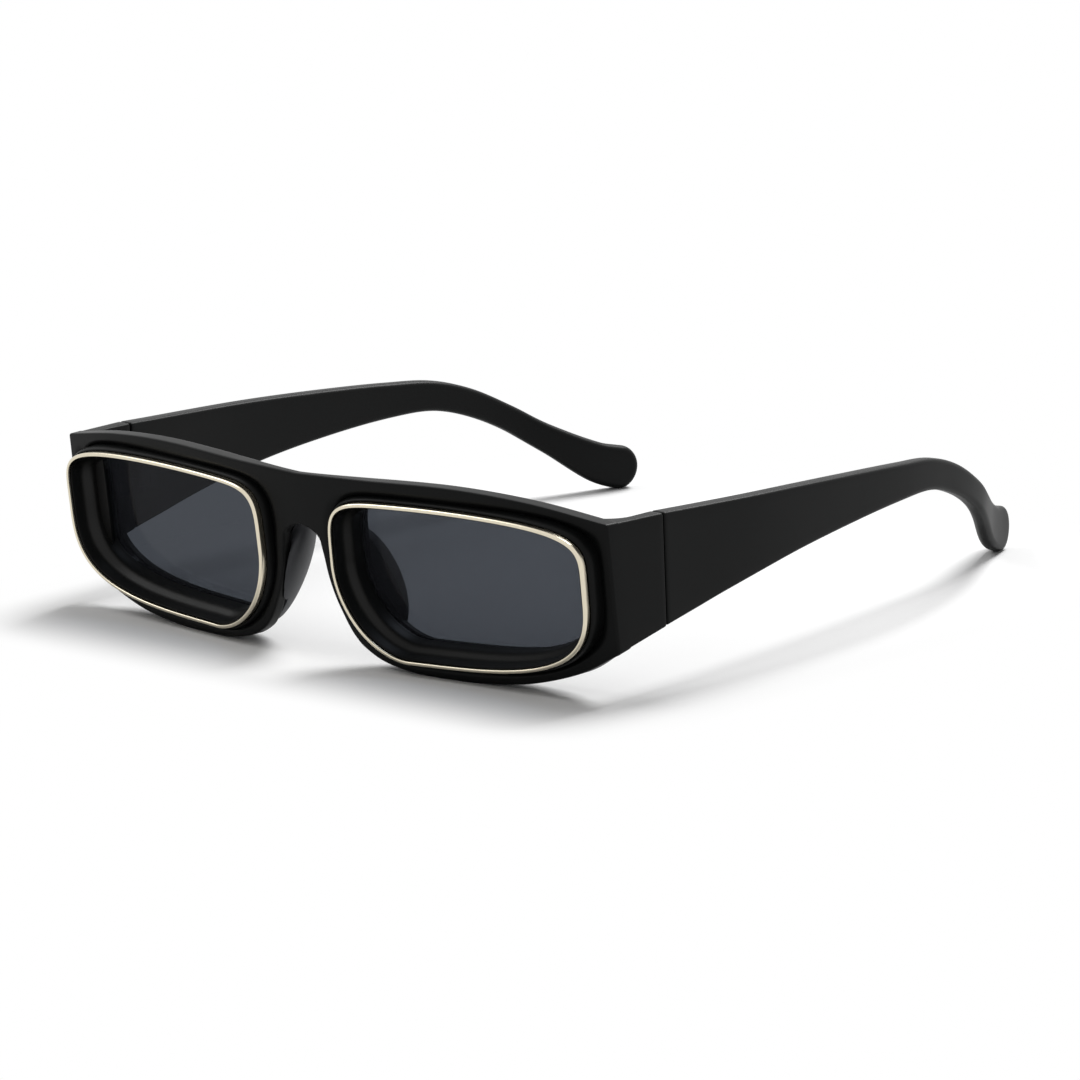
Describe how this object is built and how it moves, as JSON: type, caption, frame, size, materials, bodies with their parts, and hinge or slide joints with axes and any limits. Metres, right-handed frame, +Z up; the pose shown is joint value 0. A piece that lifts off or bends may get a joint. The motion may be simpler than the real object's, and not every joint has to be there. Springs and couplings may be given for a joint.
{
  "type": "sunglasses",
  "caption": "Square wrap sunglasses: one thick front with deep stepped eye funnels trimmed by metal rings, smoke lenses, and hooked temples that fold inwards on screwed hinges.",
  "frame": {"origin": "bottom centre of the open sunglasses, on the surface that the rims and temple tips stand on", "axes": "+X towards the wearer's left, +Y from the front to the temple tips, +Z up"},
  "size_m": [0.149, 0.1676, 0.0395],
  "materials": {
    "front_plastic": "satin black injection-moulded plastic",
    "temple_plastic": "satin black injection-moulded plastic",
    "pad_plastic": "soft-touch dark grey moulded pad",
    "ring_metal": "polished champagne-silver plated metal",
    "lens_smoke": "smoke-tinted, polished",
    "hinge_steel": "blackened steel, fine satin",
    "screw_steel": "blackened steel, turned"
  },
  "bodies": {
    "front": {"front_frame": "front_plastic", "lens_left": "lens_smoke", "trim_ring_left": "ring_metal", "nose_pad_left": "pad_plastic", "front_hinge_leaf_left": "hinge_steel", "hinge_screw_left": "screw_steel", "front_leaf_screw_lower_left": "screw_steel", "front_leaf_screw_upper_left": "screw_steel", "lens_right": "lens_smoke", "trim_ring_right": "ring_metal", "nose_pad_right": "pad_plastic", "front_hinge_leaf_right": "hinge_steel", "hinge_screw_right": "screw_steel", "front_leaf_screw_lower_right": "screw_steel", "front_leaf_screw_upper_right": "screw_steel"},
    "temple_left_arm": {"temple_hinge_leaf_left": "hinge_steel", "temple_left": "temple_plastic", "temple_leaf_screw_lower_left": "screw_steel", "temple_leaf_screw_upper_left": "screw_steel"},
    "temple_right_arm": {"temple_hinge_leaf_right": "hinge_steel", "temple_right": "temple_plastic", "temple_leaf_screw_lower_right": "screw_steel", "temple_leaf_screw_upper_right": "screw_steel"}
  },
  "joints": [
    {"name": "temple_left_fold", "type": "hinge", "parent": "front", "child": "temple_left_arm", "pos_m": [0.06905, -0.05672, 0.025], "axis": [0, 0, 1], "range_deg": [0, 85]},
    {"name": "temple_right_fold", "type": "hinge", "parent": "front", "child": "temple_right_arm", "pos_m": [-0.06905, -0.05672, 0.025], "axis": [0, 0, -1], "range_deg": [0, 80]}
  ]
}
